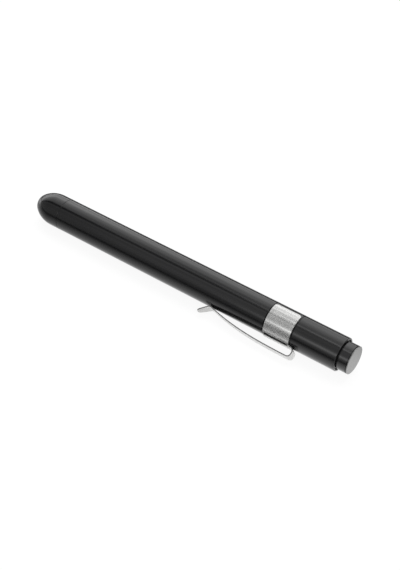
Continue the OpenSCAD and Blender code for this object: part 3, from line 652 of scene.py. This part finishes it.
# matt paper, lifted towards plain white for the eye so that the shadow stays soft, and plain white further
# off; in reflections it is a lit strip under the pen that falls off to the sides
paperWhite, tree, shader = newMaterial("seamlessPaper", IOR=1.45, Roughness=floorCut["roughness"])
shader.inputs["Base Color"].default_value = linear(floorCut["colour"])
shader.inputs["Specular IOR Level"].default_value = floorCut["gloss"]
path = addNode(tree, "LightPath")
mirrored = addNode(tree, "Math", [(0, path, "Is Glossy Ray"), (1, path, "Is Transmission Ray")],
                   operation="MAXIMUM")
spot = addNode(tree, "TexCoord")
parts = addNode(tree, "SeparateXYZ", [("Vector", spot, "Object")])
off = addNode(tree, "Math", [(0, parts, "Y")], operation="SUBTRACT", i1=axisY)
away = addNode(tree, "Math", [(0, off, "Value")], operation="ABSOLUTE")
reach = addNode(tree, "MapRange", [("Value", away, "Value")], From_Max=floorCut["reach"] * mm)
falloff = addNode(tree, "ValToRGB", [("Fac", reach, "Result")])
nearTo = [(i / floorCut["steps"]) ** 2 for i in range(floorCut["steps"] + 1)]  # closer stops near the pen
setRamp(falloff, [(d, grey(1 / (1 + (d * floorCut["reach"] / floorCut["halfAt"]) ** floorCut["steepness"])))
                  for d in nearTo])
along = addNode(tree, "MapRange", [("Value", parts, "X")], From_Min=-floorCut["ends"] * mm,
                From_Max=floorCut["ends"] * mm)
lengthwise = addNode(tree, "ValToRGB", [("Fac", along, "Result")])
setRamp(lengthwise, [(0.5 + 0.5 * x / floorCut["ends"], grey(level / floorCut["most"]))
                     for x, level in floorCut["lengthwise"]])
evened = addNode(tree, "Math", [(0, falloff, "Color"), (1, lengthwise, "Color")], operation="MULTIPLY")
glow = addNode(tree, "Math", [(0, evened, "Value")], operation="MULTIPLY",
               i1=floorCut["glow"] * floorCut["most"])
shine = addNode(tree, "Mix", [(0, mirrored, "Value"), (3, glow, "Value")], data_type="FLOAT", i2=1.0)
white = addNode(tree, "Emission", [("Strength", shine, 0)], Color=grey(1))
outwards = addNode(tree, "VectorMath", [(0, spot, "Object")], operation="LENGTH")
plainer = addNode(tree, "MapRange", [("Value", outwards, "Value")], From_Min=floorCut["fadeFrom"],
                  From_Max=floorCut["fadeTo"], To_Min=floorCut["lift"])
lift = addNode(tree, "Math", [(0, path, "Is Camera Ray"), (1, plainer, "Result")], operation="MULTIPLY")
share = addNode(tree, "Math", [(0, lift, "Value"), (1, mirrored, "Value")], operation="MAXIMUM")
paper = addNode(tree, "MixShader", [(0, share, "Value"), (1, shader, "BSDF"), (2, white, "Emission")])
tree.links.new(paper.outputs["Shader"], tree.nodes["Material Output"].inputs["Surface"])
dress(studioFloor, paperWhite)

# a light tent along the pen: dim in front, a dark gap along the ridge, and a back wall that is brightest low
# down; towards the tail two strip lamps hang in it, which draw the stripes down the barrel
# each wall is listed as (degrees from the front edge of the table over the ridge, brightness)
tent = dict(
    ambient=0.6, bright=3.0, noseToMiddle=(-0.56, -0.46), middleToTail=(-0.37, -0.345),
    nose=[(0, 0.4), (60, 0.3), (67, 0.5), (74, 0.02), (84, 0.02), (91, 0.9), (115, 1.4), (130, 1.8),
          (142, 2.7), (152, 2.2), (164, 1.2), (180, 2.2)],
    middle=[(0, 0.2), (16, 0.3), (38, 0.7), (58, 0.5), (70, 0.9), (75, 0.05), (84, 0.05), (91, 1.0),
            (101, 0.45), (115, 1.5), (130, 1.4), (142, 2.0), (152, 2.0), (164, 1.2), (180, 1.8)],
    tail=[(0, 0.45), (9, 0.4), (17, 0.9), (28, 2.6), (38, 0.8), (48, 0.55), (76, 0.6), (83, 0.5), (87, 2.7),
          (94, 1.0), (105, 0.9), (115, 1.4), (140, 2.0), (164, 1.2), (180, 1.5)])
world = bpy.data.worlds.new("lightTent")
bpy.context.scene.world = world
world.use_nodes = True
tree = world.node_tree
room = tree.nodes["Background"]
room.inputs["Color"].default_value = grey(1)
way = addNode(tree, "TexCoord")
parts = addNode(tree, "SeparateXYZ", [("Vector", way, "Generated")])
front = addNode(tree, "Math", [(0, parts, "Y")], operation="MULTIPLY", i1=-1.0)
angle = addNode(tree, "Math", [(0, parts, "Z"), (1, front, "Value")], operation="ARCTAN2")
around = addNode(tree, "MapRange", [("Value", angle, "Value")], From_Max=math.pi)
tentEnds = []
for end in ("nose", "middle", "tail"):
    walls = addNode(tree, "ValToRGB", [("Fac", around, "Result")])
    setRamp(walls, [(degrees / 180, grey(level / tent["bright"])) for degrees, level in tent[end]])
    tentEnds.append(walls)
first, last = tent["noseToMiddle"]
toMiddle = addNode(tree, "MapRange", [("Value", parts, "X")], From_Min=first, From_Max=last)
first, last = tent["middleToTail"]
toTail = addNode(tree, "MapRange", [("Value", parts, "X")], From_Min=first, From_Max=last)
noseWalls, middleWalls, tailWalls = tentEnds
noseHalf = addNode(tree, "Mix", [(0, toMiddle, "Result"), (2, noseWalls, "Color"), (3, middleWalls, "Color")],
                   data_type="FLOAT")
wholeTent = addNode(tree, "Mix", [(0, toTail, "Result"), (2, noseHalf, 0), (3, tailWalls, "Color")],
                    data_type="FLOAT")
glow = addNode(tree, "Math", [(0, wholeTent, 0)], operation="MULTIPLY", i1=tent["bright"])
path = addNode(tree, "LightPath")
mirrored = addNode(tree, "Math", [(0, path, "Is Glossy Ray"), (1, path, "Is Transmission Ray")],
                   operation="MAXIMUM")
notSeen = addNode(tree, "Mix", [(0, mirrored, "Value"), (3, glow, "Value")], data_type="FLOAT",
                  i2=tent["ambient"])
strength = addNode(tree, "Mix", [(0, path, "Is Camera Ray"), (2, notSeen, 0)], data_type="FLOAT", i3=1.0)
tree.links.new(strength.outputs[0], room.inputs["Strength"])

lamps = dict(
    overhead=dict(at=(-0.1, 0.25, 0.7), size=(0.7, 0.5), power=5.0),
    fill=dict(at=(0.35, -0.35, 0.5), size=(0.4, 0.4), power=1.5))
for name, lampCut in lamps.items():
    light = bpy.data.lights.new(name, "AREA")
    light.shape = "RECTANGLE"
    light.size, light.size_y = lampCut["size"]
    light.energy = lampCut["power"]
    holder = bpy.data.objects.new(name, light)
    holder.location = lampCut["at"]
    holder.rotation_euler = (-Vector(lampCut["at"])).to_track_quat("-Z", "Y").to_euler()
    holder.visible_glossy = False  # the tent draws the reflections
    bpy.context.scene.collection.objects.link(holder)

# camera: a longish lens well above the pen, looking along it from the tail
shot = dict(azimuth=36.3, elevation=43.8, focal=1100, frameLong=570, tailRight=49.4, tailDown=24.1,
            tailAway=379.5, sensor=36, near=0.01, far=20)
a, e = math.radians(shot["azimuth"]), math.radians(shot["elevation"])
right = Vector((math.cos(a), math.sin(a), 0))
forward = Vector((-math.sin(a) * math.cos(e), math.cos(a) * math.cos(e), -math.sin(e)))
up = right.cross(forward)
tail = Vector(onAxis(tube["length"], 0, 0))
lens = bpy.data.cameras.new("photoLens")
lens.sensor_width = shot["sensor"]
lens.lens = shot["focal"] / shot["frameLong"] * lens.sensor_width
lens.clip_start, lens.clip_end = shot["near"], shot["far"]
camera = bpy.data.objects.new("photoCamera", lens)
camera.location = tail - (right * shot["tailRight"] - up * shot["tailDown"] + forward * shot["tailAway"]) * mm
camera.rotation_euler = forward.to_track_quat("-Z", "Y").to_euler()
bpy.context.scene.collection.objects.link(camera)
bpy.context.scene.camera = camera
bpy.context.scene.view_settings.view_transform = "Standard"
print("stage, light and camera done")
